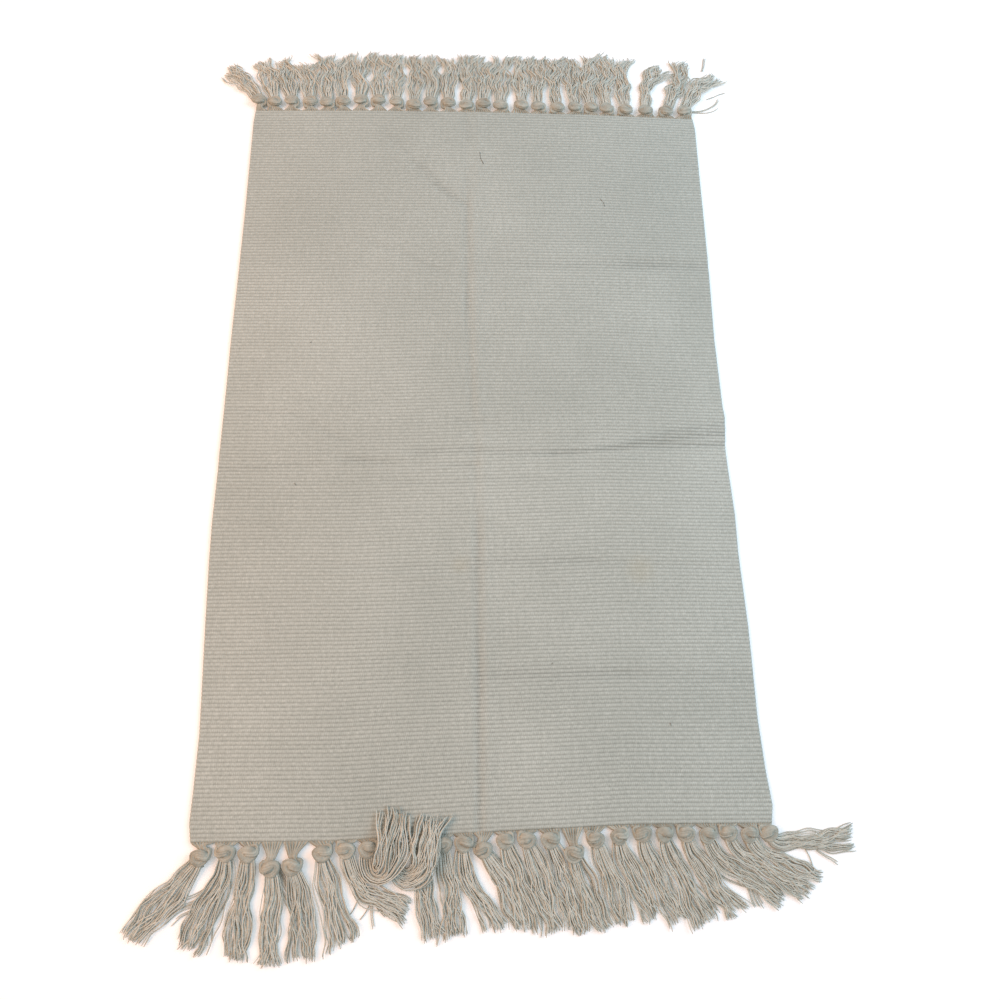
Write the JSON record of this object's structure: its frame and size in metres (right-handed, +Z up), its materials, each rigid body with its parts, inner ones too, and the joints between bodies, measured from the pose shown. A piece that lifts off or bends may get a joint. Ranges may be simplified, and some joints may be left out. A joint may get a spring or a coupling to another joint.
{
  "type": "throw rug",
  "caption": "Flat ribbed cotton throw rug, longer than wide, with a knotted tassel fringe at both short ends, lying on a floor.",
  "frame": {"origin": "centre of the woven field's flat underside, on the floor", "axes": "+Y along the rug's length away from the near end, +X across it to the right, +Z up out of the cloth"},
  "size_m": [0.7325, 1.1177, 0.014],
  "materials": {
    "cloth_cotton": "undyed ribbed cotton weave, matt",
    "fringe_cotton": "undyed twisted cotton yarn, matt"
  },
  "bodies": {
    "root": {"woven_field": "cloth_cotton", "tassel_near_01": "fringe_cotton", "tassel_near_02": "fringe_cotton", "tassel_near_03": "fringe_cotton", "tassel_near_04": "fringe_cotton", "tassel_near_05": "fringe_cotton", "tassel_near_06": "fringe_cotton", "tassel_near_07": "fringe_cotton", "tassel_near_08": "fringe_cotton", "tassel_near_09": "fringe_cotton", "tassel_near_10": "fringe_cotton", "tassel_near_11": "fringe_cotton", "tassel_near_12": "fringe_cotton", "tassel_near_13": "fringe_cotton", "tassel_near_14": "fringe_cotton", "tassel_near_15": "fringe_cotton", "tassel_near_16": "fringe_cotton", "tassel_near_17": "fringe_cotton", "tassel_near_18": "fringe_cotton", "tassel_near_19": "fringe_cotton", "tassel_near_20": "fringe_cotton", "tassel_near_21": "fringe_cotton", "tassel_near_22": "fringe_cotton", "tassel_near_23": "fringe_cotton", "tassel_near_24": "fringe_cotton", "tassel_near_25": "fringe_cotton", "tassel_near_26": "fringe_cotton", "tassel_far_01": "fringe_cotton", "tassel_far_02": "fringe_cotton", "tassel_far_03": "fringe_cotton", "tassel_far_04": "fringe_cotton", "tassel_far_05": "fringe_cotton", "tassel_far_06": "fringe_cotton", "tassel_far_07": "fringe_cotton", "tassel_far_08": "fringe_cotton", "tassel_far_09": "fringe_cotton", "tassel_far_10": "fringe_cotton", "tassel_far_11": "fringe_cotton", "tassel_far_12": "fringe_cotton", "tassel_far_13": "fringe_cotton", "tassel_far_14": "fringe_cotton", "tassel_far_15": "fringe_cotton", "tassel_far_16": "fringe_cotton", "tassel_far_17": "fringe_cotton", "tassel_far_18": "fringe_cotton", "tassel_far_19": "fringe_cotton", "tassel_far_20": "fringe_cotton", "tassel_far_21": "fringe_cotton", "tassel_far_22": "fringe_cotton", "tassel_far_23": "fringe_cotton", "tassel_far_24": "fringe_cotton", "tassel_far_25": "fringe_cotton"}
  },
  "joints": []
}
